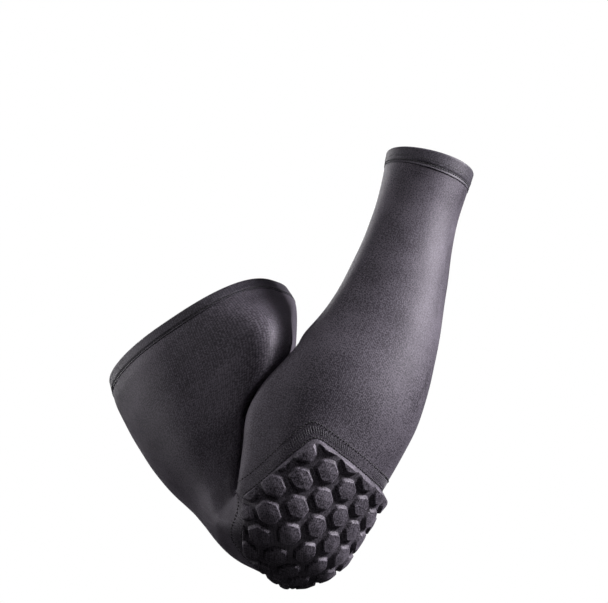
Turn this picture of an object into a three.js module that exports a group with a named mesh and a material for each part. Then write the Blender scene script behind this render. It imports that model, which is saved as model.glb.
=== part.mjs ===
import * as THREE from "three";

// A compression sleeve for the arm with a padded elbow, in the bent form it keeps when worn.
// Lengths are millimetres and angles degrees. X runs to the right, Y away from the pad, Z up.
// The origin is the middle of the upper arm opening.

// Knit and clearances
const WALL = 1.6;
const SEAM = 0.5;

// Limbs, each measured from the inside of the elbow fold to its open end
const UPPER_LENGTH = 134;
const UPPER_LEAN = -25;
const UPPER_BACK = 32;
const FORE_LENGTH = 232;
const FORE_LEAN = 23.5;
const FORE_BACK = 10;

// Half widths that the sections follow
const UPPER_HALF = 60;
const ELBOW_HALF = 50;
const FORE_HALF = 50;
const WRIST_HALF = 28;

// The pressed fold inside the elbow: half the space between the limbs, how softly they meet, the
// upper arm's share in the way of the plane between them, and the plane's twist further up
const FOLD_GAP = 0.6;
const FOLD_SOFT = 2.5;
const FOLD_SHARE = 0.4;
const FOLD_TWIST = 38;
const FOLD_TWIST_FAR = 24;
const FOLD_TWIST_WIDTH = 30;
const FOLD_TWIST_START = 40;
const FOLD_TWIST_END = 100;

// Hems
const UPPER_HEM = 11.5;
const WRIST_HEM = 10.5;
const HEM_THICK = 2.4;

// Elbow pad: place of its middle on the sleeve, its turn from the forearm, and its six sided outline
const PAD_SECTION = 8.15;
const PAD_ANGLE = 15;
const PAD_TURN = -48;
const PAD_EDGE = 0.9;
const PAD_THICK = 3.7;
const PAD_BORDER = 0.11;

// Cells on the pad
const CELL_SIDES = 6;
const CELL_PITCH = 15.6;
const CELL_STRETCH = 1.04;
const CELL_WIDTH = 12.9;
const CELL_HEIGHT = 2.5;
const CELL_BEVEL = 1.1;
const CELL_DOME = 0.4;
const CELL_LEAST = 0.2;
const CELL_SEAM = 0.45;

// Mesh steps
const AROUND = 32;
const RING_STEP = 0.37;
const PAD_STEPS = 11;
const WALK_STEPS = 14;
const CELL_STEP = 4.5;

// Sections from the upper arm opening, round the elbow, to the wrist opening.
// upper and fore are shares of the limb lengths, turn is the share of the bend round the fold.
// outer, inner, middle, near and far are shares of half: how far the section reaches away from the
// fold, towards it, to its widest place, towards the viewer and away from the viewer.
// slant and tilt lean the plane of the section, square flattens its side in the fold.
const SECTION_COLUMNS = [
  "upper", "turn", "fore", "half", "outer", "inner", "middle", "near", "far", "slant", "tilt", "square",
];
const SECTIONS = [
  [1.00, 0.00, 0.00, UPPER_HALF, 1.02, 1.03, 0.00, 0.97, 0.95, 0.02, 0.32, 2.8],
  [0.85, 0.00, 0.00, UPPER_HALF, 1.05, 1.06, 0.02, 0.97, 0.97, 0.02, 0.26, 3.8],
  [0.60, 0.00, 0.00, UPPER_HALF, 1.01, 1.06, 0.06, 0.93, 0.97, 0.00, 0.14, 8.0],
  [0.35, 0.00, 0.00, UPPER_HALF, 0.90, 0.74, 0.14, 0.84, 0.91, 0.00, 0.05, 10.0],
  [0.12, 0.00, 0.00, ELBOW_HALF, 0.85, 0.22, 0.28, 0.86, 0.96, 0.00, 0.00, 10.0],
  [0.00, 0.12, 0.00, ELBOW_HALF, 0.73, -0.02, 0.36, 0.82, 0.80, 0.00, 0.00, 10.0],
  [0.00, 0.37, 0.00, ELBOW_HALF, 0.76, -0.02, 0.40, 0.86, 0.72, 0.00, 0.00, 10.0],
  [0.00, 0.64, 0.00, ELBOW_HALF, 0.91, -0.02, 0.44, 0.92, 0.68, 0.00, 0.00, 10.0],
  [0.00, 0.90, 0.00, ELBOW_HALF, 1.05, -0.02, 0.48, 1.00, 0.68, 0.00, 0.00, 10.0],
  [0.00, 1.00, 0.08, FORE_HALF, 1.16, 0.14, 0.44, 1.03, 0.70, 0.00, 0.00, 7.0],
  [0.00, 1.00, 0.20, FORE_HALF, 1.27, 0.34, 0.38, 1.04, 0.76, 0.00, 0.00, 6.0],
  [0.00, 1.00, 0.35, FORE_HALF, 1.33, 0.38, 0.30, 0.96, 0.80, 0.00, 0.00, 3.4],
  [0.00, 1.00, 0.52, FORE_HALF, 1.21, 0.18, 0.24, 0.77, 0.76, 0.00, 0.00, 2.0],
  [0.00, 1.00, 0.70, FORE_HALF, 0.98, 0.15, 0.24, 0.61, 0.62, 0.00, 0.00, 2.0],
  [0.00, 1.00, 0.86, WRIST_HALF, 1.40, 0.45, 0.36, 0.90, 0.93, 0.00, 0.00, 2.0],
  [0.00, 1.00, 1.00, WRIST_HALF, 1.26, 0.72, 0.21, 0.89, 0.89, 0.15, 0.02, 2.0],
].map((row) => Object.fromEntries(row.map((value, i) => [SECTION_COLUMNS[i], value])));
const LAST = SECTIONS.length - 1;

// Each column of the table in millimetres or plain shares
const SCALED = ["outer", "inner", "middle", "near", "far"];
const PLAIN = ["upper", "turn", "fore", "slant", "tilt", "square"];
const COLUMNS = {};
for (const name of SCALED) COLUMNS[name] = SECTIONS.map((row) => row[name] * row.half);
for (const name of PLAIN) COLUMNS[name] = SECTIONS.map((row) => row[name]);

const rad = THREE.MathUtils.degToRad;
const vec = (x, y, z) => new THREE.Vector3(x, y, z);
const sum = (...terms) => terms.reduce((total, [v, s]) => total.addScaledVector(v, s), vec(0, 0, 0));

function direction(lean, back) {
  const flat = Math.cos(rad(back));
  return vec(flat * Math.sin(rad(lean)), Math.sin(rad(back)), flat * Math.cos(rad(lean)));
}

// Directions of the limbs, of the fold line between them, and across the pressed plane
const upperWay = direction(UPPER_LEAN, UPPER_BACK);
const foreWay = direction(FORE_LEAN, FORE_BACK);
const foldLine = upperWay.clone().cross(foreWay).normalize();
const nearWay = foldLine.clone().negate();
const pressWay = sum([upperWay, FOLD_SHARE], [foreWay, 1 - FOLD_SHARE]).normalize();
const acrossWay = sum([foreWay, 1], [pressWay, -foreWay.dot(pressWay)]).normalize();
const upperOut = sum([foreWay, -1], [upperWay, foreWay.dot(upperWay)]).normalize();
const bend = Math.PI - Math.acos(upperWay.dot(foreWay));

// A smooth curve through one column, read at a place counted in rows
function column(values, place) {
  const i = Math.min(Math.floor(place), LAST - 1);
  const t = place - i;
  const slope = (k) => {
    const a = Math.max(k - 1, 0);
    const b = Math.min(k + 1, LAST);
    return (values[b] - values[a]) / (b - a);
  };
  const bump = t * t * (3 - 2 * t);
  const away = t * (1 - t) * (1 - t);
  const back = t * t * (1 - t);
  return values[i] + bump * (values[i + 1] - values[i]) + away * slope(i) - back * slope(i + 1);
}

// The outer face of the sleeve, measured from the fold: place counts rows of the table and
// angle runs round the section from the outer line of the elbow towards the viewer
function outerFace(place, angle) {
  const at = Math.min(Math.max(place, 0), LAST);
  const read = (name) => column(COLUMNS[name], at);
  const turn = Math.min(Math.max(read("turn"), 0), 1);
  const outWay = upperOut.clone().applyAxisAngle(foldLine, -bend * turn);
  const onWay = upperWay.clone().negate().applyAxisAngle(foldLine, -bend * turn);
  const c = Math.cos(angle);
  const s = Math.sin(angle);
  const power = c > 0 ? 2 : read("square");
  const reach = (Math.abs(c) ** power + Math.abs(s) ** power) ** (-1 / power);
  const middle = read("middle");
  const x = middle + (c > 0 ? read("outer") - middle : middle + read("inner")) * c * reach;
  const y = (s > 0 ? read("near") : read("far")) * s * reach;
  const point = sum(
    [upperWay, read("upper") * UPPER_LENGTH],
    [foreWay, read("fore") * FORE_LENGTH],
    [outWay, x],
    [nearWay, y],
    [onWay, read("slant") * x + read("tilt") * y],
  );
  return pressed(point, turn < 0.5 ? -1 : 1);
}

// Keeps a point on its own side of the twisted face in which the two limbs press together
function pressed(point, side) {
  const up = point.dot(pressWay);
  const across = point.dot(acrossWay);
  const near = point.dot(nearWay);
  const radius = Math.hypot(up, across);
  const whole = THREE.MathUtils.smoothstep(near, -FOLD_TWIST_WIDTH, FOLD_TWIST_WIDTH);
  const most = rad(FOLD_TWIST_FAR + (FOLD_TWIST - FOLD_TWIST_FAR) * whole);
  const twist = most * THREE.MathUtils.smoothstep(up, FOLD_TWIST_START, FOLD_TWIST_END);
  const apart = across * Math.cos(twist) - near * Math.sin(twist);
  const space = up > 0 ? side * apart : radius;
  const over = space - FOLD_GAP;
  const move = FOLD_GAP + (over + Math.hypot(over, FOLD_SOFT)) / 2 - space;
  if (up > 0) {
    return point
      .addScaledVector(acrossWay, side * move * Math.cos(twist))
      .addScaledVector(nearWay, -side * move * Math.sin(twist));
  }
  return point
    .addScaledVector(pressWay, (move * up) / radius)
    .addScaledVector(acrossWay, (move * across) / radius);
}

// Slopes and outward normal of the face
function frameAt(place, angle) {
  const e = 1e-3;
  const along = outerFace(place + e, angle).sub(outerFace(place - e, angle)).divideScalar(2 * e);
  const around = outerFace(place, angle + e).sub(outerFace(place, angle - e)).divideScalar(2 * e);
  const normal = along.clone().cross(around).normalize();
  return { along, around, normal };
}

function lifted(place, angle, lift) {
  const inside = Math.min(Math.max(place, 1e-3), LAST - 1e-3);
  return outerFace(place, angle).addScaledVector(frameAt(inside, angle).normal, lift);
}

// Middle of an opening
function ringMiddle(place) {
  const total = vec(0, 0, 0);
  for (let k = 0; k < AROUND; k += 1) total.add(outerFace(place, (2 * Math.PI * k) / AROUND));
  return total.divideScalar(AROUND);
}
const origin = ringMiddle(0);

function material(name, colour, roughness) {
  return new THREE.MeshStandardMaterial({ name, color: colour, roughness, metalness: 0 });
}
const KNIT = material("knit", 0x38363b, 0.8);
const HEM = material("hem", 0x303036, 0.75);
const PAD_CLOTH = material("pad_cloth", 0x3c3a3f, 0.7);
const PAD_CELL = material("pad_cell", 0x444247, 0.6);

const sleeve = new THREE.Group();
sleeve.name = "padded_arm_sleeve";

function addSolid(name, slot, points, faces) {
  const geometry = new THREE.BufferGeometry();
  const numbers = points.flatMap((p) => p.clone().sub(origin).toArray());
  geometry.setAttribute("position", new THREE.Float32BufferAttribute(numbers, 3));
  geometry.setIndex(faces.flat());
  geometry.computeVertexNormals();
  const mesh = new THREE.Mesh(geometry, slot.clone());
  mesh.name = name;
  sleeve.add(mesh);
}

// A closed ring solid: every profile point is a place along the sleeve and a lift from its face,
// listed from the outer side at the first end, over the far end, and back along the inner side
function addBand(name, slot, profile) {
  const points = [];
  const faces = [];
  const count = profile.length;
  for (const { place, lift } of profile) {
    for (let k = 0; k < AROUND; k += 1) points.push(lifted(place, (2 * Math.PI * k) / AROUND, lift));
  }
  for (let i = 0; i < count; i += 1) {
    const j = (i + 1) % count;
    for (let k = 0; k < AROUND; k += 1) {
      const m = (k + 1) % AROUND;
      const [a, b, c, d] = [i * AROUND + k, j * AROUND + k, j * AROUND + m, i * AROUND + m];
      faces.push([a, b, c], [a, c, d]);
    }
  }
  addSolid(name, slot, points, faces);
}

// Places of the seams between the hems and the tube
const upperStep = (SECTIONS[0].upper - SECTIONS[1].upper) * UPPER_LENGTH;
const wristStep = (SECTIONS[LAST].fore - SECTIONS[LAST - 1].fore) * FORE_LENGTH;
const upperSeam = (UPPER_HEM + SEAM) / upperStep;
const wristSeam = LAST - (WRIST_HEM + SEAM) / wristStep;

// Tube of knit between the hems, in stretches along the arm so that each one's hollow stays open.
// Each ends at a row of SECTIONS, clear of the fold inside the elbow.
const STRETCHES = [
  { name: "sleeve_upper", end: 2 },
  { name: "sleeve_biceps", end: 3 },
  { name: "sleeve_above_elbow", end: 4 },
  { name: "sleeve_elbow", end: 9.5 },
  { name: "sleeve_forearm", end: 12 },
  { name: "sleeve_wrist", end: wristSeam },
];
let stretchStart = upperSeam;
for (const { name, end } of STRETCHES) {
  const steps = Math.ceil((end - stretchStart) / RING_STEP);
  const outer = [];
  for (let i = 0; i <= steps; i += 1) {
    outer.push({ place: stretchStart + ((end - stretchStart) * i) / steps, lift: 0 });
  }
  addBand(name, KNIT, [...outer, ...outer.map(({ place }) => ({ place, lift: -WALL })).reverse()]);
  stretchStart = end + SEAM / frameAt(end, Math.PI / 2).along.length();
}

// Folded hem with a rounded edge: depth from the opening as a share of the hem, and lift as a
// share of half its thickness, on the outer side and then back on the inner side
const HEM_PROFILE = [
  { depth: 0.00, lift: 0.0 },
  { depth: 0.05, lift: 0.8 },
  { depth: 0.16, lift: 1.0 },
  { depth: 0.86, lift: 1.0 },
  { depth: 1.00, lift: 0.6 },
  { depth: 1.00, lift: -0.6 },
  { depth: 0.86, lift: -1.0 },
  { depth: 0.10, lift: -1.0 },
];
const hemLift = (share) => -WALL / 2 + (share * HEM_THICK) / 2;
const upperProfile = HEM_PROFILE.map(({ depth, lift }) => ({
  place: (depth * UPPER_HEM) / upperStep,
  lift: hemLift(lift),
}));
const wristProfile = HEM_PROFILE.map(({ depth, lift }) => ({
  place: LAST - (depth * WRIST_HEM) / wristStep,
  lift: hemLift(lift),
}));
addBand("upper_hem", HEM, upperProfile);
addBand("wrist_hem", HEM, wristProfile.reverse());

// Lays a flat place of the pad on the sleeve: walks straight over the face from the middle of the
// pad, and returns the point, the normal and the way to lift it
const padStart = frameAt(PAD_SECTION, rad(PAD_ANGLE));
const padUp = sum([foreWay, 1], [padStart.normal, -foreWay.dot(padStart.normal)]).normalize();
const padSide = padUp.clone().cross(padStart.normal);
function laid(across, up) {
  const heading = Math.atan2(across, up) + rad(PAD_TURN);
  const stride = Math.hypot(across, up) / WALK_STEPS;
  let way = sum([padUp, Math.cos(heading)], [padSide, Math.sin(heading)]);
  let place = PAD_SECTION;
  let angle = rad(PAD_ANGLE);
  for (let i = 0; i < WALK_STEPS; i += 1) {
    const half = stepOver(place, angle, way, stride / 2);
    const full = stepOver(half.place, half.angle, half.way, stride / 2);
    place = full.place;
    angle = full.angle;
    way = full.way;
  }
  return { point: outerFace(place, angle), normal: frameAt(place, angle).normal };
}

function stepOver(place, angle, way, stride) {
  const { along, around, normal } = frameAt(place, angle);
  const flat = way.clone().addScaledVector(normal, -way.dot(normal)).normalize();
  const aa = along.dot(along);
  const ab = along.dot(around);
  const bb = around.dot(around);
  const det = aa * bb - ab * ab;
  const p = along.dot(flat);
  const q = around.dot(flat);
  return {
    place: place + (stride * (bb * p - ab * q)) / det,
    angle: angle + (stride * (aa * q - ab * p)) / det,
    way: flat,
  };
}
const lift = ({ point, normal }, height) => point.clone().addScaledVector(normal, height);

// Three corners of the pad, clockwise from the top, on its flat plan. The other three lie opposite.
const PAD_CORNERS = [
  { name: "top", across: 9, up: 63 },
  { name: "front", across: 53, up: 1 },
  { name: "low", across: 49, up: -42 },
];
const OUTLINE = [1, -1].flatMap((side) => PAD_CORNERS.map(({ across, up }) => [side * across, side * up]));
const padReachAcross = Math.max(...PAD_CORNERS.map(({ across }) => Math.abs(across)));
const padReachUp = Math.max(...PAD_CORNERS.map(({ up }) => Math.abs(up)));

// Rings of the pad from its middle out: the last step is the sloping border
function ringShare(k) {
  return k === PAD_STEPS ? 1 : (k / (PAD_STEPS - 1)) * (1 - PAD_BORDER);
}
const ringStart = (k) => (k === 0 ? 0 : 1 + 3 * k * (k - 1));
const ringIndex = (k, n) => (k === 0 ? 0 : ringStart(k) + (n % (6 * k)));

const padPlaces = [laid(0, 0)];
for (let k = 1; k <= PAD_STEPS; k += 1) {
  for (let n = 0; n < 6 * k; n += 1) {
    const side = Math.floor(n / k);
    const share = (n % k) / k;
    const [ax, ay] = OUTLINE[side];
    const [bx, by] = OUTLINE[(side + 1) % 6];
    const x = ringShare(k) * (ax + (bx - ax) * share);
    const y = ringShare(k) * (ay + (by - ay) * share);
    padPlaces.push(laid(x, y));
  }
}
const padFaces = [];
for (let k = 1; k <= PAD_STEPS; k += 1) {
  for (let side = 0; side < 6; side += 1) {
    for (let n = 0; n < k; n += 1) {
      const outerA = ringIndex(k, side * k + n);
      const outerB = ringIndex(k, side * k + n + 1);
      const innerA = ringIndex(k - 1, side * (k - 1) + n);
      padFaces.push([innerA, outerB, outerA]);
      if (n < k - 1) padFaces.push([innerA, ringIndex(k - 1, side * (k - 1) + n + 1), outerB]);
    }
  }
}
const rimStart = ringStart(PAD_STEPS);
const padCount = padPlaces.length;
const padTop = padPlaces.map((place, i) => lift(place, SEAM + (i >= rimStart ? PAD_EDGE : PAD_THICK)));
const padUnder = padPlaces.map((place) => lift(place, SEAM));
const padRim = [];
for (let n = 0; n < 6 * PAD_STEPS; n += 1) {
  const a = ringIndex(PAD_STEPS, n);
  const b = ringIndex(PAD_STEPS, n + 1);
  padRim.push([a, b, b + padCount], [a, b + padCount, a + padCount]);
}
addSolid("pad_base", PAD_CLOTH, [...padTop, ...padUnder], [
  ...padFaces,
  ...padFaces.map(([a, b, c]) => [a + padCount, c + padCount, b + padCount]),
  ...padRim,
]);

// Cuts a polygon to the part inside the flat top of the pad
const cellLimit = OUTLINE.map(([x, y]) => [x * (1 - PAD_BORDER), y * (1 - PAD_BORDER)]);
function clipped(polygon) {
  let kept = polygon;
  cellLimit.forEach(([ax, ay], i) => {
    const [bx, by] = cellLimit[(i + 1) % 6];
    const inside = ([x, y]) => (bx - ax) * (y - ay) - (by - ay) * (x - ax);
    const next = [];
    kept.forEach((p, k) => {
      const q = kept[(k + 1) % kept.length];
      const [dp, dq] = [inside(p), inside(q)];
      if (dp <= 0) next.push(p);
      if (dp * dq < 0) next.push([0, 1].map((n) => p[n] + ((q[n] - p[n]) * dp) / (dp - dq)));
    });
    kept = next;
  });
  return kept;
}

function polygonArea(polygon) {
  const crosses = polygon.map(([x, y], k) => {
    const [u, w] = polygon[(k + 1) % polygon.length];
    return x * w - u * y;
  });
  return Math.abs(crosses.reduce((a, b) => a + b, 0)) / 2;
}

// Splits the sides so that a cell follows the curve of the elbow
function divided(polygon) {
  return polygon.flatMap(([x, y], k) => {
    const [u, w] = polygon[(k + 1) % polygon.length];
    const parts = Math.max(1, Math.ceil(Math.hypot(u - x, w - y) / CELL_STEP));
    return Array.from({ length: parts }, (_, n) => [x + ((u - x) * n) / parts, y + ((w - y) * n) / parts]);
  });
}

function addCell(name, polygon) {
  const edge = divided(polygon);
  const count = edge.length;
  const mx = edge.reduce((t, [x]) => t + x, 0) / count;
  const my = edge.reduce((t, [, y]) => t + y, 0) / count;
  const inset = 1 - (2 * CELL_BEVEL) / CELL_WIDTH;
  const foot = SEAM + PAD_THICK + CELL_SEAM;
  const rings = [
    { share: 1, height: foot },
    { share: (1 + 2 * inset) / 3, height: foot + 0.72 * CELL_HEIGHT },
    { share: inset, height: foot + CELL_HEIGHT },
  ];
  const points = rings.flatMap(({ share, height }) =>
    edge.map(([x, y]) => lift(laid(mx + (x - mx) * share, my + (y - my) * share), height)),
  );
  const middle = laid(mx, my);
  points.push(lift(middle, foot), lift(middle, foot + CELL_HEIGHT + CELL_DOME));
  const [under, over] = [3 * count, 3 * count + 1];
  const faces = [];
  for (let k = 0; k < count; k += 1) {
    const m = (k + 1) % count;
    faces.push([under, k, m], [over, 2 * count + m, 2 * count + k]);
    for (let r = 0; r < 2; r += 1) {
      const [a, b] = [r * count + k, r * count + m];
      faces.push([a, b + count, b], [a, a + count, b + count]);
    }
  }
  addSolid(name, PAD_CELL, points, faces);
}

// Cells in offset rows, pointed along the pad, each cut to the pad where it meets the border
const cellRadius = CELL_WIDTH / Math.sqrt(3);
const cellRow = (CELL_STRETCH * CELL_PITCH * Math.sqrt(3)) / 2;
const cellArea = cellRadius * cellRadius * 1.5 * Math.sqrt(3);
const rowLimit = Math.ceil(padReachUp / cellRow);
const seatLimit = Math.ceil(padReachAcross / CELL_PITCH) + 1;
let cellCount = 0;
for (let row = rowLimit; row >= -rowLimit; row -= 1) {
  for (let seat = -seatLimit; seat <= seatLimit; seat += 1) {
    const x = (seat + (row % 2 === 0 ? 0 : 0.5)) * CELL_PITCH;
    const y = row * cellRow;
    const whole = Array.from({ length: CELL_SIDES }, (_, k) => [
      x + cellRadius * Math.sin(rad((360 * k) / CELL_SIDES)),
      y + CELL_STRETCH * cellRadius * Math.cos(rad((360 * k) / CELL_SIDES)),
    ]);
    const cell = clipped(whole);
    if (cell.length > 2 && polygonArea(cell) > CELL_LEAST * cellArea) {
      cellCount += 1;
      addCell(`hex_cell_${String(cellCount).padStart(2, "0")}`, cell);
    }
  }
}

export default sleeve;
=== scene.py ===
import bpy
import numpy as np
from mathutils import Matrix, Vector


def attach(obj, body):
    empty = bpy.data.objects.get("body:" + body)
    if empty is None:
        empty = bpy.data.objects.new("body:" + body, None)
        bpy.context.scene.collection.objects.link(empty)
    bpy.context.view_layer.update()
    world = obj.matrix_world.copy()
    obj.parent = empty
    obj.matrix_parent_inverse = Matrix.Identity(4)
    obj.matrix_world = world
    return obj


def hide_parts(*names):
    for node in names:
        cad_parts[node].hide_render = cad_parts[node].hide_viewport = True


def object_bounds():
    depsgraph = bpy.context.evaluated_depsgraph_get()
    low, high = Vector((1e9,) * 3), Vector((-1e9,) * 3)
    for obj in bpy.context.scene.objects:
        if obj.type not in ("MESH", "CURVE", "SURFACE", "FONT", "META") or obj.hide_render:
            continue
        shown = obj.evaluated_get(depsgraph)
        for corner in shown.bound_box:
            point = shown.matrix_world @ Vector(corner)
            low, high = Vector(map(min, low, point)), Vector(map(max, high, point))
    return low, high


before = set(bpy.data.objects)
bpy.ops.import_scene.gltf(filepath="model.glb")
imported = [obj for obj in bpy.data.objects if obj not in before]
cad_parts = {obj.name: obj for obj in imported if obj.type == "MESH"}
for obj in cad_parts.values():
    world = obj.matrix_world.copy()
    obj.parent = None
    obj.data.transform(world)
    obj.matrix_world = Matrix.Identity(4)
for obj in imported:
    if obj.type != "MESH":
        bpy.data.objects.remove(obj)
cad_low, cad_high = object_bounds()

# Knit tube: thin heathered stretch knit in charcoal, cut as one tapered piece, closed along its
# length and worn stretched tight and bent. It has no slack to hang or crumple, so its one deep
# fold is pressed in where it bends. Sizes are millimetres, counted from the middle of that fold.
UPPER_LENGTH = 134
UPPER_LEAN = -25
UPPER_BACK = 32
FORE_LENGTH = 232
FORE_LEAN = 23.5
FORE_BACK = 10
UPPER_HALF = 60
ELBOW_HALF = 50
FORE_HALF = 50
WRIST_HALF = 28
FOLD_GAP = 0.6
FOLD_SOFT = 2.5
FOLD_SHARE = 0.4
FOLD_TWIST = 38
FOLD_TWIST_FAR = 24
FOLD_TWIST_WIDTH = 30
FOLD_TWIST_START = 40
FOLD_TWIST_END = 100
RING_SAMPLES = 32
NUDGE = 1e-3

# One smooth face carries the tube, the hems, the pad and every stitch. It is read by place, which
# counts the rows of this table from the upper opening, and by angle round the section. A row gives
# the share of the upper length, of the bend and of the fore length, then a half width and, in
# shares of it, the reach outwards and inwards, the middle, and the reach to the near and far side.
# The last three lean the section, outwards and nearwards, and square off its inner side.
COLUMNS = "upper turn fore half outer inner middle near far slant tilt square".split()
SCALED = ("outer", "inner", "middle", "near", "far")
SECTIONS = np.array(
    [
        [1.00, 0.00, 0.00, UPPER_HALF, 1.02, 1.03, 0.00, 0.97, 0.95, 0.02, 0.32, 2.8],
        [0.85, 0.00, 0.00, UPPER_HALF, 1.05, 1.06, 0.02, 0.97, 0.97, 0.02, 0.26, 3.8],
        [0.60, 0.00, 0.00, UPPER_HALF, 1.01, 1.06, 0.06, 0.93, 0.97, 0.00, 0.14, 8.0],
        [0.35, 0.00, 0.00, UPPER_HALF, 0.90, 0.74, 0.14, 0.84, 0.91, 0.00, 0.05, 10.0],
        [0.12, 0.00, 0.00, ELBOW_HALF, 0.85, 0.22, 0.28, 0.86, 0.96, 0.00, 0.00, 10.0],
        [0.00, 0.12, 0.00, ELBOW_HALF, 0.73, -0.02, 0.36, 0.82, 0.80, 0.00, 0.00, 10.0],
        [0.00, 0.37, 0.00, ELBOW_HALF, 0.76, -0.02, 0.40, 0.86, 0.72, 0.00, 0.00, 10.0],
        [0.00, 0.64, 0.00, ELBOW_HALF, 0.91, -0.02, 0.44, 0.92, 0.68, 0.00, 0.00, 10.0],
        [0.00, 0.90, 0.00, ELBOW_HALF, 1.05, -0.02, 0.48, 1.00, 0.68, 0.00, 0.00, 10.0],
        [0.00, 1.00, 0.08, FORE_HALF, 1.16, 0.14, 0.44, 1.03, 0.70, 0.00, 0.00, 7.0],
        [0.00, 1.00, 0.20, FORE_HALF, 1.27, 0.34, 0.38, 1.04, 0.76, 0.00, 0.00, 6.0],
        [0.00, 1.00, 0.35, FORE_HALF, 1.33, 0.38, 0.30, 0.96, 0.80, 0.00, 0.00, 3.4],
        [0.00, 1.00, 0.52, FORE_HALF, 1.21, 0.18, 0.24, 0.77, 0.76, 0.00, 0.00, 2.0],
        [0.00, 1.00, 0.70, FORE_HALF, 0.98, 0.15, 0.24, 0.61, 0.62, 0.00, 0.00, 2.0],
        [0.00, 1.00, 0.86, WRIST_HALF, 1.40, 0.45, 0.36, 0.90, 0.93, 0.00, 0.00, 2.0],
        [0.00, 1.00, 1.00, WRIST_HALF, 1.26, 0.72, 0.21, 0.89, 0.89, 0.15, 0.02, 2.0],
    ]
)
TABLE = {name: SECTIONS[:, i].copy() for i, name in enumerate(COLUMNS)}
for scaled_name in SCALED:
    TABLE[scaled_name] *= TABLE["half"]
LAST = len(SECTIONS) - 1


def unit(v):
    return v / np.linalg.norm(v, axis=-1, keepdims=True)


def limb_way(lean, back):
    a, b = np.radians(lean), np.radians(back)
    return np.array([np.cos(b) * np.sin(a), np.sin(b), np.cos(b) * np.cos(a)])


upper_way = limb_way(UPPER_LEAN, UPPER_BACK)
fore_way = limb_way(FORE_LEAN, FORE_BACK)
near_way = -unit(np.cross(upper_way, fore_way))
press_way = unit(FOLD_SHARE * upper_way + (1 - FOLD_SHARE) * fore_way)
across_way = unit(fore_way - (fore_way @ press_way) * press_way)
upper_out = -unit(fore_way - (fore_way @ upper_way) * upper_way)
bend = np.pi - np.arccos(upper_way @ fore_way)


def column(name, place):
    """A smooth curve through one column of the table."""
    values = TABLE[name]
    slopes = np.gradient(values)
    i = np.clip(place.astype(int), 0, LAST - 1)
    t = place - i
    bump = t * t * (3 - 2 * t)
    away = t * (1 - t) ** 2
    back = t * t * (1 - t)
    return values[i] + bump * (values[i + 1] - values[i]) + away * slopes[i] - back * slopes[i + 1]


def smooth(value, start, end):
    """0 up to start and 1 from end on, with a soft step between."""
    t = np.clip((value - start) / (end - start), 0, 1)
    return t * t * (3 - 2 * t)


def turned(way, angle):
    """way turned about the fold line, for an array of angles."""
    c, s = np.cos(angle)[..., None], np.sin(angle)[..., None]
    return way * c + np.cross(near_way, way) * s


def face(place, angle):
    """The outer face of the sleeve."""
    place, angle = np.broadcast_arrays(np.asarray(place, float), np.asarray(angle, float))
    at = np.clip(place, 0, LAST)
    turn = np.clip(column("turn", at), 0, 1)
    out_way, on_way = turned(upper_out, bend * turn), turned(-upper_way, bend * turn)
    c, s = np.cos(angle), np.sin(angle)
    power = np.where(c > 0, 2, column("square", at))
    reach = (np.abs(c) ** power + np.abs(s) ** power) ** (-1 / power)
    middle = column("middle", at)
    side = np.where(c > 0, column("outer", at) - middle, middle + column("inner", at))
    x = middle + side * c * reach
    y = np.where(s > 0, column("near", at), column("far", at)) * s * reach
    lean = column("slant", at) * x + column("tilt", at) * y
    base = np.multiply.outer(column("upper", at) * UPPER_LENGTH, upper_way)
    base = base + np.multiply.outer(column("fore", at) * FORE_LENGTH, fore_way)
    point = base + out_way * x[..., None] + np.multiply.outer(y, near_way) + on_way * lean[..., None]
    return pressed(point, np.where(turn < 0.5, -1.0, 1.0))


def pressed(point, side):
    """Keeps points on their own side of the surface where both stretches press together."""
    up, across, near = point @ press_way, point @ across_way, point @ near_way
    radius = np.hypot(up, across) + 1e-9
    whole = smooth(near, -FOLD_TWIST_WIDTH, FOLD_TWIST_WIDTH)
    twist = np.radians(FOLD_TWIST_FAR + (FOLD_TWIST - FOLD_TWIST_FAR) * whole)
    twist = twist * smooth(up, FOLD_TWIST_START, FOLD_TWIST_END)
    space = np.where(up > 0, side * (across * np.cos(twist) - near * np.sin(twist)), radius)
    over = space - FOLD_GAP
    move = FOLD_GAP + (over + np.hypot(over, FOLD_SOFT)) / 2 - space
    beside = np.multiply.outer(np.cos(twist), across_way) - np.multiply.outer(np.sin(twist), near_way)
    below = np.multiply.outer(up / radius, press_way) + np.multiply.outer(across / radius, across_way)
    way = np.where((up > 0)[..., None], side[..., None] * beside, below)
    return point + way * move[..., None]


def slopes_at(place, angle):
    """How the face runs along and round, and its outward normal."""
    along = (face(place + NUDGE, angle) - face(place - NUDGE, angle)) / (2 * NUDGE)
    around = (face(place, angle + NUDGE) - face(place, angle - NUDGE)) / (2 * NUDGE)
    return along, around, unit(np.cross(along, around))


# The part's own frame starts in the middle of the upper opening.
origin = face(0.0, 2 * np.pi * np.arange(RING_SAMPLES) / RING_SAMPLES).mean(0)


def lifted(place, angle, lift):
    """Points above the face, in metres in the part's own frame."""
    place, angle, lift = np.broadcast_arrays(place, angle, lift)
    normal = slopes_at(np.clip(place, NUDGE, LAST - NUDGE), angle)[2]
    return (face(place, angle) + normal * lift[..., None] - origin) / 1000


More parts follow.
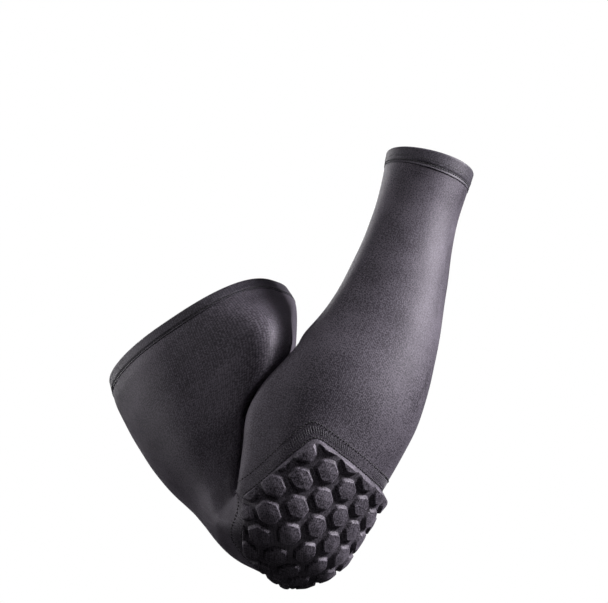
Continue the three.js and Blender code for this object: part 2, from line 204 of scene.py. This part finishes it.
def closed_rings(name, rings, tour, length):
    """A closed ring solid from rows of points, with a map of the way round and the way along."""
    rows, count = rings.shape[:2]
    i, k = (g.ravel() for g in np.meshgrid(np.arange(rows), np.arange(count), indexing="ij"))
    j, m = (i + 1) % rows, (k + 1) % count
    quads = np.stack([i * count + k, j * count + k, j * count + m, i * count + m], -1)
    mesh = bpy.data.meshes.new(name)
    mesh.from_pydata(rings.reshape(-1, 3).tolist(), [], quads.tolist())
    mesh.polygons.foreach_set("use_smooth", np.ones(len(quads), bool))
    u = np.stack([k, k, k + 1, k + 1], -1) / count * tour / 1000
    v = np.stack([length[i], length[j], length[j], length[i]], -1) / 1000
    layer = mesh.uv_layers.new(name="knit")
    layer.data.foreach_set("uv", np.stack([u, v], -1).ravel())
    made = bpy.data.objects.new(name, mesh)
    bpy.context.scene.collection.objects.link(made)
    return made


WALL = 1.6
SEAM = 0.06
UPPER_HEM = 11.5
WRIST_HEM = 10.5
TUBE_AROUND = 224
TUBE_RINGS = 300
LINING_RINGS = 60
TUBE_LIP = 0.2
KNIT_TOUR = 280
UPPER_STEP = (SECTIONS[0][0] - SECTIONS[1][0]) * UPPER_LENGTH
WRIST_STEP = (SECTIONS[LAST][2] - SECTIONS[LAST - 1][2]) * FORE_LENGTH
upper_seam = (UPPER_HEM + SEAM) / UPPER_STEP
wrist_seam = LAST - (WRIST_HEM + SEAM) / WRIST_STEP

# Low swells of the stretched knit, so that the light doesn't run dead even over it: the height of
# each, then the rise by place, the turns round and the start of the two waves that cross in it.
SWELLS = (
    (0.22, (2.1, 2, 0.0), (0.9, -3, 1.3)),
    (0.10, (5.3, 5, 0.4), (3.1, -4, 0.0)),
)
SWELL_FADE_UPPER = 0.4
SWELL_FADE_WRIST = 0.3


def tube_lift(place, angle):
    lift = 0
    for height, *waves in SWELLS:
        swell = height
        for rise, turns, start in waves:
            swell = swell * np.sin(rise * place + turns * angle + start)
        lift = lift + swell
    upper_fade = smooth(place, upper_seam, upper_seam + SWELL_FADE_UPPER)
    return lift * upper_fade * (1 - smooth(place, wrist_seam - SWELL_FADE_WRIST, wrist_seam))


ring_angles = 2 * np.pi * np.arange(TUBE_AROUND) / TUBE_AROUND
upper_lip = upper_seam + TUBE_LIP / UPPER_STEP
wrist_lip = wrist_seam - TUBE_LIP / WRIST_STEP
between = np.linspace(upper_lip, wrist_lip, TUBE_RINGS)
outer_places = np.concatenate([[upper_seam], between, [wrist_seam]])[:, None]
inner_places = np.linspace(wrist_seam, upper_seam, LINING_RINGS)[:, None]
outer_rings = lifted(outer_places, ring_angles, tube_lift(outer_places, ring_angles))
tube_rings = np.concatenate([outer_rings, lifted(inner_places, ring_angles, -WALL)])
tube_walk = np.linalg.norm(np.diff(tube_rings[:, 0], axis=0), axis=1)
tube_length = 1000 * np.concatenate([[0], np.cumsum(tube_walk)])
tube = closed_rings("knit_tube", tube_rings, KNIT_TOUR, tube_length)

# Blender's wave texture runs through 20 radians for each unit of its scale.
WAVE_RATE = 20
KNIT_DARK = (0.0054, 0.0042, 0.0072)
KNIT_LIGHT = (0.0780, 0.0685, 0.0860)
KNIT_GRAIN = 0.95
KNIT_RELIEF = 0.22
KNIT_WALE = 0.95
KNIT_COURSE = 0.8
COURSE_SHARE = 0.42
YARN_STREAK = 1.6
YARN_STRETCH = 0.3
STREAK_SHARE = 0.2
KNIT_BROAD = 38
BROAD_SHARE = 0.22
LOOP_SHARE = 0.1
YARN_RELIEF_SHARE = 0.75
HEATHER_LOW = 0.43
HEATHER_HIGH = 0.59
GLOSS_TINT = (0.95, 0.86, 1.0, 1)
SHEEN_TINT = (0.88, 0.78, 0.96, 1)


def knit_material(name, dark, light, grain=KNIT_GRAIN, relief=KNIT_RELIEF):
    """Stretch knit: rows of loops, heathered yarn, and the soft sheen of its filaments."""
    material = bpy.data.materials.new(name)
    material.use_nodes = True
    nodes, links = material.node_tree.nodes, material.node_tree.links
    shader = nodes["Principled BSDF"]
    spot = nodes.new("ShaderNodeUVMap")
    spot.uv_map = "knit"

    def bands(direction, pitch):
        wave = nodes.new("ShaderNodeTexWave")
        wave.bands_direction = direction
        wave.inputs["Scale"].default_value = 2 * np.pi / WAVE_RATE / (pitch / 1000)
        wave.inputs["Distortion"].default_value = 1.2
        wave.inputs["Detail"].default_value = 1.0
        links.new(spot.outputs["UV"], wave.inputs["Vector"])
        return wave.outputs["Fac"]

    def noise(size, detail, stretch=1.0):
        place = nodes.new("ShaderNodeMapping")
        place.inputs["Scale"].default_value = (1, stretch, 1)
        links.new(spot.outputs["UV"], place.inputs["Vector"])
        texture = nodes.new("ShaderNodeTexNoise")
        texture.inputs["Scale"].default_value = 1000 / size
        texture.inputs["Detail"].default_value = detail
        texture.inputs["Roughness"].default_value = 0.6
        links.new(place.outputs["Vector"], texture.inputs["Vector"])
        return texture.outputs["Fac"]

    def blend(a, b, share):
        mix = nodes.new("ShaderNodeMix")
        mix.data_type = "FLOAT"
        mix.inputs[0].default_value = share
        links.new(a, mix.inputs[2])
        links.new(b, mix.inputs[3])
        return mix.outputs[0]

    loops = blend(bands("X", KNIT_WALE), bands("Y", KNIT_COURSE), COURSE_SHARE)
    streaks = noise(grain * YARN_STREAK, detail=2, stretch=YARN_STRETCH)
    heather = blend(noise(grain, detail=3), streaks, STREAK_SHARE)
    cloudy = blend(heather, noise(KNIT_BROAD, detail=2), BROAD_SHARE)
    tone = blend(cloudy, loops, LOOP_SHARE)
    ramp = nodes.new("ShaderNodeValToRGB")
    ramp.color_ramp.elements[0].position = HEATHER_LOW
    ramp.color_ramp.elements[0].color = (*dark, 1)
    ramp.color_ramp.elements[1].position = HEATHER_HIGH
    ramp.color_ramp.elements[1].color = (*light, 1)
    links.new(tone, ramp.inputs["Fac"])
    links.new(ramp.outputs["Color"], shader.inputs["Base Color"])
    gloss = nodes.new("ShaderNodeMapRange")
    gloss.inputs["To Min"].default_value = 0.5
    gloss.inputs["To Max"].default_value = 0.68
    links.new(heather, gloss.inputs["Value"])
    links.new(gloss.outputs["Result"], shader.inputs["Roughness"])
    shader.inputs["Specular IOR Level"].default_value = 0.3
    shader.inputs["Specular Tint"].default_value = GLOSS_TINT
    shader.inputs["Sheen Weight"].default_value = 0.06
    shader.inputs["Sheen Roughness"].default_value = 0.42
    shader.inputs["Sheen Tint"].default_value = SHEEN_TINT
    bump = nodes.new("ShaderNodeBump")
    bump.inputs["Strength"].default_value = 0.6
    bump.inputs["Distance"].default_value = relief / 1000
    links.new(blend(loops, heather, YARN_RELIEF_SHARE), bump.inputs["Height"])
    links.new(bump.outputs["Normal"], shader.inputs["Normal"])
    return material


tube.data.materials.append(knit_material("charcoal_knit", KNIT_DARK, KNIT_LIGHT))
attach(tube, "root")
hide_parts(*sorted(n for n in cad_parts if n.startswith("sleeve_")))

# Hems: at each opening the knit is turned in and sewn down, so the band is thicker, round at the
# edge, and drawn in along its stitch line with fine puckers.
HEM_THICK = 2.4
HEM_END_RADIUS = 0.3
HEM_FLAT_STEPS = 26
HEM_STITCH_IN = 1.8
HEM_DRAW = 0.45
HEM_DRAW_WIDTH = 0.9
HEM_PUCKERS = 96
HEM_PUCKER_SHARE = 0.25
HEM_PUCKER_DRIFTS = 7
HEM_PUCKER_DRIFT = 0.8
HEM_DARK = (0.0026, 0.0022, 0.0038)
HEM_LIGHT = (0.0530, 0.0480, 0.0610)


def hem_profile(depth):
    """Depth from the edge and lift, round the band: outer side first, then back inside."""
    half = HEM_THICK / 2
    round_edge = np.radians(np.arange(5, 90, 10))
    round_end = np.radians(np.arange(15, 90, 20))
    flat = np.linspace(half, depth - HEM_END_RADIUS, HEM_FLAT_STEPS)
    end_deep = depth - HEM_END_RADIUS * (1 - np.sin(round_end))
    end_lift = half - HEM_END_RADIUS * (1 - np.cos(round_end))
    deep = np.concatenate([half * (1 - np.cos(round_edge)), flat, end_deep])
    lift = np.concatenate([half * np.sin(round_edge), np.full(HEM_FLAT_STEPS, half), end_lift])
    return np.concatenate([deep, deep[::-1]]), np.concatenate([lift, -lift[::-1]]) - WALL / 2


def hem_band(name, depth, place_of, node):
    """A hem of this depth, where place_of gives the place of a depth from its opening."""
    deep, lift = hem_profile(depth)
    # Where the place falls with depth, the profile runs backwards, so the faces still point outwards.
    if place_of(1.0) < place_of(0.0):
        deep, lift = deep[::-1], lift[::-1]
    outside = lift[:, None] > -WALL / 2
    draw = np.exp(-(((deep - (depth - HEM_STITCH_IN)) / HEM_DRAW_WIDTH) ** 2))[:, None]
    drift = HEM_PUCKER_DRIFT * np.sin(HEM_PUCKER_DRIFTS * ring_angles)
    pucker = 1 + HEM_PUCKER_SHARE * np.sin(HEM_PUCKERS * ring_angles + drift)
    full_lift = lift[:, None] - np.where(outside, HEM_DRAW * draw * pucker, 0)
    rings = lifted(place_of(deep)[:, None], ring_angles, full_lift)
    band = closed_rings(name, rings, KNIT_TOUR, deep)
    band.data.materials.append(knit_material(name + "_knit", HEM_DARK, HEM_LIGHT))
    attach(band, "root")
    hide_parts(node)
    return band


hems = [
    hem_band("hem_upper", UPPER_HEM, lambda deep: deep / UPPER_STEP, "upper_hem"),
    hem_band("hem_wrist", WRIST_HEM, lambda deep: LAST - deep / WRIST_STEP, "wrist_hem"),
]

# Hem stitches: a row of short dark stitches of spun thread round each hem, sunk in the line that
# they draw in. The wrist hem has a second, finer row, the cover stitch that holds its turned edge.
HEM_STITCH_PITCH = 1.7
HEM_STITCH_LENGTH = 1.1
HEM_ROW_STEP = 2.9
HEM_STITCH_PROUD = 0.1
THREAD_RADIUS = 0.42
COVER_THREAD_RADIUS = 0.2
THREAD_DARK = (0.0010, 0.0010, 0.0012)
THREAD_LIGHT = (0.0050, 0.0048, 0.0055)
THREAD_STRANDS = 2600
STITCH_SIDES = 6
STITCH_RINGS = 4
PATH_POINTS = 720


def thread_material(name, dark, light):
    """Spun thread: fine strands that run a little lighter and darker."""
    material = bpy.data.materials.new(name)
    material.use_nodes = True
    nodes, links = material.node_tree.nodes, material.node_tree.links
    shader = nodes["Principled BSDF"]
    spot = nodes.new("ShaderNodeTexCoord")
    strands = nodes.new("ShaderNodeTexNoise")
    strands.inputs["Scale"].default_value = THREAD_STRANDS
    strands.inputs["Detail"].default_value = 2
    links.new(spot.outputs["Object"], strands.inputs["Vector"])
    ramp = nodes.new("ShaderNodeValToRGB")
    ramp.color_ramp.elements[0].color = (*dark, 1)
    ramp.color_ramp.elements[1].color = (*light, 1)
    links.new(strands.outputs["Fac"], ramp.inputs["Fac"])
    links.new(ramp.outputs["Color"], shader.inputs["Base Color"])
    shader.inputs["Roughness"].default_value = 0.7
    return material


THREAD = thread_material("thread", THREAD_DARK, THREAD_LIGHT)


def stitch_tree(name, material):
    """Geometry Nodes: even stitches along a line, each turned to the line's own way."""
    tree = bpy.data.node_groups.new(name, "GeometryNodeTree")
    add_socket = tree.interface.new_socket
    add_socket("Geometry", in_out="INPUT", socket_type="NodeSocketGeometry")
    for size_name in ("Pitch", "Length", "Radius"):
        add_socket(size_name, in_out="INPUT", socket_type="NodeSocketFloat")
    add_socket("Geometry", in_out="OUTPUT", socket_type="NodeSocketGeometry")
    nodes, links = tree.nodes, tree.links
    start, end = nodes.new("NodeGroupInput"), nodes.new("NodeGroupOutput")
    curve = nodes.new("GeometryNodeMeshToCurve")
    even = nodes.new("GeometryNodeResampleCurve")
    even.mode = "LENGTH"
    ball = nodes.new("GeometryNodeMeshUVSphere")
    ball.inputs["Segments"].default_value = STITCH_SIDES
    ball.inputs["Rings"].default_value = STITCH_RINGS
    ball.inputs["Radius"].default_value = 1.0
    way = nodes.new("GeometryNodeInputNamedAttribute")
    way.data_type = "FLOAT_VECTOR"
    way.inputs["Name"].default_value = "way"
    turn = nodes.new("FunctionNodeAlignRotationToVector")
    turn.axis = "Z"
    size = nodes.new("ShaderNodeCombineXYZ")
    place = nodes.new("GeometryNodeInstanceOnPoints")
    real = nodes.new("GeometryNodeRealizeInstances")
    paint = nodes.new("GeometryNodeSetMaterial")
    paint.inputs["Material"].default_value = material
    links.new(start.outputs["Geometry"], curve.inputs["Mesh"])
    links.new(curve.outputs["Curve"], even.inputs["Curve"])
    links.new(start.outputs["Pitch"], even.inputs["Length"])
    links.new(even.outputs["Curve"], place.inputs["Points"])
    links.new(ball.outputs["Mesh"], place.inputs["Instance"])
    links.new(way.outputs["Attribute"], turn.inputs["Vector"])
    links.new(turn.outputs["Rotation"], place.inputs["Rotation"])
    links.new(start.outputs["Radius"], size.inputs["X"])
    links.new(start.outputs["Radius"], size.inputs["Y"])
    links.new(start.outputs["Length"], size.inputs["Z"])
    links.new(size.outputs["Vector"], place.inputs["Scale"])
    links.new(place.outputs["Instances"], real.inputs["Geometry"])
    links.new(real.outputs["Geometry"], paint.inputs["Geometry"])
    links.new(paint.outputs["Geometry"], end.inputs["Geometry"])
    return tree


def stitch_line(name, points, ways, pitch, length, radius, material):
    """Sews a closed line of points, in metres, and bakes the stitches to a plain mesh."""
    count = len(points)
    mesh = bpy.data.meshes.new(name)
    mesh.from_pydata(points.tolist(), [(k, (k + 1) % count) for k in range(count)], [])
    mesh.attributes.new("way", "FLOAT_VECTOR", "POINT").data.foreach_set("vector", ways.ravel())
    line = bpy.data.objects.new(name, mesh)
    bpy.context.scene.collection.objects.link(line)
    tree = stitch_tree(name + "_tree", material)
    modifier = line.modifiers.new("stitches", "NODES")
    modifier.node_group = tree
    values = {"Pitch": pitch / 1000, "Length": length / 2000, "Radius": radius / 1000}
    for item in tree.interface.items_tree:
        if item.in_out == "INPUT" and item.name in values:
            modifier[item.identifier] = values[item.name]
    graph = bpy.context.evaluated_depsgraph_get()
    baked = bpy.data.meshes.new_from_object(line.evaluated_get(graph))
    line.modifiers.clear()
    line.data = baked
    baked.name = name
    baked.polygons.foreach_set("use_smooth", np.ones(len(baked.polygons), bool))
    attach(line, "root")


def along_line(points):
    return unit(np.roll(points, -1, axis=0) - np.roll(points, 1, axis=0))


path_angles = 2 * np.pi * np.arange(PATH_POINTS) / PATH_POINTS
hem_top = HEM_THICK / 2 - WALL / 2
drawn_lift = hem_top - HEM_DRAW + HEM_STITCH_PROUD
upper_row = (UPPER_HEM - HEM_STITCH_IN) / UPPER_STEP
wrist_row = LAST - (WRIST_HEM - HEM_STITCH_IN) / WRIST_STEP
cover_row = wrist_row + HEM_ROW_STEP / WRIST_STEP
for row_name, row_place, row_lift, radius in (
    ("hem_upper_stitches", upper_row, drawn_lift, THREAD_RADIUS),
    ("hem_wrist_stitches", wrist_row, drawn_lift, THREAD_RADIUS),
    ("hem_wrist_cover", cover_row, hem_top, COVER_THREAD_RADIUS),
):
    row = lifted(row_place, path_angles, row_lift)
    ways = along_line(row)
    stitch_line(row_name, row, ways, HEM_STITCH_PITCH, HEM_STITCH_LENGTH, radius, THREAD)

# Elbow pad: closed foam moulded in raised hexagons, with the knit bonded over it, so one skin runs
# down into every groove. Its six sides slope to the sleeve, and a sewn channel frames them.
PAD_SECTION = 8.15
PAD_ANGLE = 15
PAD_TURN = -48
# Three corners, across and up from the middle of the pad. The other three lie opposite.
PAD_CORNERS = ((9, 63), (53, 1), (49, -42))
PAD_ROUND = 22
PAD_THICK = 4.3
PAD_SLOPE = 1.9
PAD_TUCK = 0.5
PAD_TUCK_WIDTH = 0.9
PAD_SINK = 0.4
PAD_RINGS = 160
PAD_UNDER_RINGS = 8
CELL_PITCH = 15.6
CELL_STRETCH = 1.04
CELL_WIDTH = 13.0
CELL_HEIGHT = 2.1
CELL_BEVEL = 1.5
CELL_DOME = 0.5
CELL_FOOT = 0.2
CELL_ROUND = 11
EDGE_ROUND = 0.35
WALK_STEPS = 14
LAY_STEP = 3.0
LAY_REACH = 90


def dot(a, b):
    return (a * b).sum(-1)


def stepped(place, angle, way, stride):
    """One straight stride over the face, as the new place and angle and the way it went."""
    along, around, normal = slopes_at(place, angle)
    flat = unit(way - normal * dot(way, normal)[..., None])
    aa, ab, bb = dot(along, along), dot(along, around), dot(around, around)
    p, q = dot(along, flat), dot(around, flat)
    scale = stride / (aa * bb - ab * ab)
    return place + scale * (bb * p - ab * q), angle + scale * (aa * q - ab * p), flat


def laid(across, up):
    """Walks straight over the face from the middle of the pad to flat places on it."""
    start_normal = slopes_at(PAD_SECTION, np.radians(PAD_ANGLE))[2]
    pad_up = unit(fore_way - start_normal * (fore_way @ start_normal))
    pad_side = np.cross(pad_up, start_normal)
    heading = np.arctan2(across, up) + np.radians(PAD_TURN)
    stride = np.hypot(across, up) / WALK_STEPS
    way = np.multiply.outer(np.cos(heading), pad_up) + np.multiply.outer(np.sin(heading), pad_side)
    place = np.full(across.shape, float(PAD_SECTION))
    angle = np.full(across.shape, np.radians(PAD_ANGLE))
    for _ in range(WALK_STEPS):
        half_place, half_angle, way = stepped(place, angle, way, stride / 2)
        place, angle, way = stepped(half_place, half_angle, way, stride / 2)
    return place, angle


lay_axis = np.arange(-LAY_REACH, LAY_REACH + LAY_STEP, LAY_STEP)
lay_places, lay_angles = laid(*np.meshgrid(lay_axis, lay_axis, indexing="ij"))


def spot_of(x, y):
    """Place and angle of a flat place of the pad, read between the walked ones."""
    fx, fy = (x + LAY_REACH) / LAY_STEP, (y + LAY_REACH) / LAY_STEP
    i, j = fx.astype(int), fy.astype(int)
    a, b = fx - i, fy - j
    shares = ((0, 0, (1 - a) * (1 - b)), (1, 0, a * (1 - b)), (0, 1, (1 - a) * b), (1, 1, a * b))
    grids = (lay_places, lay_angles)
    return tuple(sum(w * grid[i + p, j + q] for p, q, w in shares) for grid in grids)


pad_corners = np.array(PAD_CORNERS + tuple((-x, -y) for x, y in PAD_CORNERS), float)
pad_edges = np.roll(pad_corners, -1, axis=0) - pad_corners
side_ways = unit(np.stack([-pad_edges[:, 1], pad_edges[:, 0]], -1))
side_reach = dot(side_ways, pad_corners)
side_ways, side_reach = side_ways / np.sign(side_reach)[:, None], np.abs(side_reach)
MEAN_REACH = side_reach.mean()


def gauge(x, y):
    """0 at the middle of the pad and 1 on its outline, with rounded corners."""
    out = np.multiply.outer(x, side_ways[:, 0]) + np.multiply.outer(y, side_ways[:, 1])
    shares = np.clip(out / side_reach, 0, None)
    return (shares**PAD_ROUND).sum(-1) ** (1 / PAD_ROUND)


def softer(a, b, width):
    """The lower of two heights, rounded where they meet."""
    return (a + b - np.hypot(a - b, width)) / 2


def cell_inside(x, y):
    """Distance in from the side of the nearest hexagon, below 0 in the grooves."""
    y = y / CELL_STRETCH
    row_step = CELL_PITCH * np.sqrt(3) / 2
    best = np.full(x.shape, -1e9)
    near_row = np.round(y / row_step)
    for shift in (-1, 0, 1):
        row = near_row + shift
        half = np.where(row % 2 == 0, 0.0, 0.5)
        dx = x - (np.round(x / CELL_PITCH - half) + half) * CELL_PITCH
        dy = y - row * row_step
        sides = np.array([np.abs(dx * np.cos(a) + dy * np.sin(a)) for a in np.radians((0, 60, 120))])
        out = (sides**CELL_ROUND).sum(0) ** (1 / CELL_ROUND)
        best = np.maximum(best, CELL_WIDTH / 2 - out)
    return best


def cell_rise(x, y):
    """0 in the grooves and 1 on the cells."""
    return smooth(cell_inside(x, y), -CELL_FOOT, CELL_BEVEL)


def pad_height(x, y):
    """Height of the pad's skin over the sleeve's face."""
    edge = MEAN_REACH * (1 - gauge(x, y))
    crown = CELL_DOME * smooth(cell_inside(x, y), CELL_BEVEL, CELL_WIDTH / 2)
    top = PAD_THICK + CELL_HEIGHT * cell_rise(x, y) + crown
    tuck = PAD_TUCK * (1 - smooth(edge, 0, PAD_TUCK_WIDTH))
    return softer(top, PAD_SLOPE * edge, EDGE_ROUND) - tuck


def pad_ring(k, sides):
    """Flat places of one ring of the pad, k of PAD_RINGS out from the middle."""
    n = np.arange(6 * sides)
    a, b = pad_corners[n // sides], pad_corners[(n // sides + 1) % 6]
    flat = a + (b - a) * ((n % sides) / sides)[:, None]
    way = unit(flat)
    reach = 1 / gauge(way[:, 0], way[:, 1])
    return way * (reach * k / PAD_RINGS)[:, None]


def ring_start(k):
    """Number of the first point of ring k."""
    return 0 if k == 0 else 1 + 3 * k * (k - 1)


def ring_index(k, n):
    """Number of point n of ring k."""
    return 0 if k == 0 else ring_start(k) + n % (6 * k)


def top_faces():
    """Triangles of the pad's top, ring by ring."""
    faces = []
    for k in range(1, PAD_RINGS + 1):
        for side in range(6):
            for n in range(k):
                outer, outer_next = ring_index(k, side * k + n), ring_index(k, side * k + n + 1)
                inner = ring_index(k - 1, side * (k - 1) + n)
                faces.append((inner, outer_next, outer))
                if n < k - 1:
                    inner_next = ring_index(k - 1, side * (k - 1) + n + 1)
                    faces.append((inner, inner_next, outer_next))
    return faces


def pad_mesh():
    """One closed skin: rings of triangles over the top, then rings of quads back underneath."""
    flat = np.concatenate([[[0.0, 0.0]]] + [pad_ring(k, k) for k in range(1, PAD_RINGS + 1)])
    x, y = flat.T
    place, angle = spot_of(x, y)
    points = [lifted(place, angle, pad_height(x, y))]
    faces = top_faces()
    rim_count = 6 * PAD_RINGS
    ring_from = ring_start(PAD_RINGS)
    total = len(flat)
    uvs = [flat]
    for step in range(1, PAD_UNDER_RINGS):
        share = PAD_RINGS * (1 - step / PAD_UNDER_RINGS)
        under = pad_ring(share, PAD_RINGS)
        points.append(lifted(*spot_of(*under.T), -PAD_TUCK - PAD_SINK))
        uvs.append(under)
        for n in range(rim_count):
            m = (n + 1) % rim_count
            faces.append((ring_from + n, ring_from + m, total + m, total + n))
        ring_from = total
        total += rim_count
    points.append(lifted(*spot_of(np.zeros(1), np.zeros(1)), -PAD_TUCK - PAD_SINK))
    uvs.append(np.zeros((1, 2)))
    faces += [(ring_from + n, ring_from + (n + 1) % rim_count, total) for n in range(rim_count)]
    mesh = bpy.data.meshes.new("elbow_pad")
    mesh.from_pydata(np.concatenate(points).tolist(), [], faces)
    mesh.polygons.foreach_set("use_smooth", np.ones(len(faces), bool))
    corners = np.zeros(len(mesh.loops), int)
    mesh.loops.foreach_get("vertex_index", corners)
    layer = mesh.uv_layers.new(name="knit")
    layer.data.foreach_set("uv", (np.concatenate(uvs)[corners] / 1000).ravel())
    # The cells' rise, kept on the mesh as the mask for the shade painted into the grooves.
    raised = mesh.attributes.new("raised", "FLOAT", "POINT")
    raised.data.foreach_set("value", cell_rise(*np.concatenate(uvs).T))
    return mesh


PAD_DARK = (0.0032, 0.0025, 0.0044)
PAD_LIGHT = (0.0920, 0.0810, 0.1020)
PAD_GRAIN = 1.0
PAD_RELIEF = 0.16
# Share of the pad's colour left on the floor of the grooves, where shade is painted in.
GROOVE_PAINTED_SHADE = 0.62


def pad_material():
    """The same knit, with painted shade making its colour darker down in the grooves."""
    material = knit_material("pad_knit", PAD_DARK, PAD_LIGHT, PAD_GRAIN, PAD_RELIEF)
    nodes, links = material.node_tree.nodes, material.node_tree.links
    shader = nodes["Principled BSDF"]
    knit = shader.inputs["Base Color"].links[0].from_socket
    # Painted shade: the knit's colour is scaled down from the cell tops into the grooves.
    raised = nodes.new("ShaderNodeAttribute")
    raised.attribute_name = "raised"
    tone = nodes.new("ShaderNodeMapRange")
    tone.inputs["To Min"].default_value = GROOVE_PAINTED_SHADE
    links.new(raised.outputs["Fac"], tone.inputs["Value"])
    shade = nodes.new("ShaderNodeVectorMath")
    shade.operation = "SCALE"
    links.new(knit, shade.inputs[0])
    links.new(tone.outputs["Result"], shade.inputs["Scale"])
    links.new(shade.outputs["Vector"], shader.inputs["Base Color"])
    return material


pad = bpy.data.objects.new("elbow_pad", pad_mesh())
bpy.context.scene.collection.objects.link(pad)
pad.data.materials.append(pad_material())
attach(pad, "root")
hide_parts("pad_base", *sorted(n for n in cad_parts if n.startswith("hex_cell")))

# Pad seams: a stitch line at the foot of the pad and a second one further out, with the cover
# thread lying across between them as a fine hatch.
SEAM_NEAR = 0.7
SEAM_FAR = 8.4
SEAM_PITCH = 2.0
SEAM_LENGTH = 1.1
SEAM_NEAR_LIFT = 0.12
SEAM_FAR_LIFT = 0.05
HATCH_LIFT = -0.08
HATCH_PITCH = 1.5
HATCH_LENGTH = 5.4
HATCH_RADIUS = 0.24
HATCH_DARK = (0.0150, 0.0132, 0.0180)
HATCH_LIGHT = (0.0700, 0.0615, 0.0780)


def pad_line(out):
    """Flat places of a closed line round the pad, out millimetres from its edge."""
    heading = 2 * np.pi * np.arange(PATH_POINTS) / PATH_POINTS
    way = np.stack([np.sin(heading), np.cos(heading)], -1)
    reach = (1 + out / MEAN_REACH) / gauge(way[:, 0], way[:, 1])
    return way * reach[:, None]


def seam_points(out, lift):
    return lifted(*spot_of(*pad_line(out).T), lift)


def seam_row(name, out, lift):
    row = seam_points(out, lift)
    ways = along_line(row)
    stitch_line(name, row, ways, SEAM_PITCH, SEAM_LENGTH, THREAD_RADIUS, THREAD)


seam_row("pad_seam_inner", SEAM_NEAR, SEAM_NEAR_LIFT)
seam_row("pad_seam_outer", SEAM_FAR, SEAM_FAR_LIFT)
hatch_middle = (SEAM_NEAR + SEAM_FAR) / 2
stitch_line(
    "pad_seam_hatch",
    seam_points(hatch_middle, HATCH_LIFT),
    unit(seam_points(hatch_middle + 1, 0.0) - seam_points(hatch_middle - 1, 0.0)),
    HATCH_PITCH,
    HATCH_LENGTH,
    HATCH_RADIUS,
    thread_material("hatch_thread", HATCH_DARK, HATCH_LIGHT),
)

# Studio, in metres: a plain pale floor well below the sleeve, with an even glow of its own, and a
# white surround. Neither throws light on the sleeve. A strong soft key stands on the right. The
# others are weak: a tall one on the left, and one each above, in front, behind and below.
FLOOR_DROP = 1.2
FLOOR_HALF = 7.0
FLOOR_COLOUR = (0.86, 0.86, 0.86, 1)
FLOOR_GLOW = 1.08
FLOOR_CORNERS = ((-1, -1), (1, -1), (1, 1), (-1, 1))
SURROUND_SEEN = 1.0
SURROUND_LIGHT = 0.0
# Each light: its offset from the middle of the sleeve, its width and height, and its watts.
LIGHTS = {
    "key": ((1.15, -0.1, 0.62), (0.4, 0.5), 68),
    "top": ((-0.1, -0.45, 1.25), (0.7, 0.5), 7),
    "side": ((-1.3, 0.25, 0.3), (0.3, 1.0), 12),
    "front": ((0.75, -1.0, 0.75), (0.5, 0.5), 3),
    "back": ((-0.95, 1.3, 0.35), (0.8, 0.8), 14),
    "low": ((0.3, -0.6, -1.1), (0.8, 0.8), 2),
}
sleeve_middle = np.array((cad_low + cad_high) / 2)
floor_mesh = bpy.data.meshes.new("floor")
floor_height = cad_low.z - FLOOR_DROP
floor_points = [(x * FLOOR_HALF, y * FLOOR_HALF, floor_height) for x, y in FLOOR_CORNERS]
floor_mesh.from_pydata(floor_points, [], [(0, 1, 2, 3)])
floor = bpy.data.objects.new("floor", floor_mesh)
bpy.context.scene.collection.objects.link(floor)
floor_paint = bpy.data.materials.new("pale_floor")
floor_paint.use_nodes = True
floor_shader = floor_paint.node_tree.nodes["Principled BSDF"]
floor_shader.inputs["Base Color"].default_value = FLOOR_COLOUR
floor_shader.inputs["Roughness"].default_value = 0.9
floor_shader.inputs["Emission Color"].default_value = FLOOR_COLOUR
floor_shader.inputs["Emission Strength"].default_value = FLOOR_GLOW
floor_mesh.materials.append(floor_paint)
floor.visible_diffuse = False
floor.visible_glossy = False

world = bpy.data.worlds.new("studio")
world.use_nodes = True
sky_nodes, sky_links = world.node_tree.nodes, world.node_tree.links
seen = sky_nodes.new("ShaderNodeLightPath")
strength = sky_nodes.new("ShaderNodeMapRange")
strength.inputs["To Min"].default_value = SURROUND_LIGHT
strength.inputs["To Max"].default_value = SURROUND_SEEN
sky_links.new(seen.outputs["Is Camera Ray"], strength.inputs["Value"])
sky_nodes["Background"].inputs["Color"].default_value = (1, 1, 1, 1)
sky_links.new(strength.outputs["Result"], sky_nodes["Background"].inputs["Strength"])
bpy.context.scene.world = world
bpy.context.scene.view_settings.view_transform = "Standard"


def soft_light(name, offset, size, power):
    """A lamp offset from the middle of the sleeve and aimed at it."""
    data = bpy.data.lights.new(name, "AREA")
    data.shape = "RECTANGLE"
    data.size, data.size_y = size
    data.energy = power
    lamp = bpy.data.objects.new(name, data)
    bpy.context.scene.collection.objects.link(lamp)
    lamp.location = sleeve_middle + np.array(offset)
    aim = lamp.location.copy()
    aim.x, aim.y, aim.z = -np.array(offset)
    lamp.rotation_euler = aim.to_track_quat("-Z", "Y").to_euler()


for light_name, (offset, size, power) in LIGHTS.items():
    soft_light(light_name, offset, size, power)

# Camera: level and square on, as far off as the photograph was taken. The middle of the sleeve's
# fold lies off the middle of its view by CAMERA_FOLD, across and up in millimetres.
CAMERA_DISTANCE = 1500
CAMERA_FOLD = (-20, -124)
SENSOR = 36
FOCAL_PIXELS = 2500
PHOTO_WIDTH = 608
fold_at = -origin / 1000
camera_data = bpy.data.cameras.new("camera")
camera_data.sensor_width = SENSOR
camera_data.lens = SENSOR * FOCAL_PIXELS / PHOTO_WIDTH
camera = bpy.data.objects.new("camera", camera_data)
bpy.context.scene.collection.objects.link(camera)
camera.location = (
    fold_at[0] - CAMERA_FOLD[0] / 1000,
    fold_at[1] - CAMERA_DISTANCE / 1000,
    fold_at[2] - CAMERA_FOLD[1] / 1000,
)
camera.rotation_euler = (np.pi / 2, 0, 0)
bpy.context.scene.camera = camera
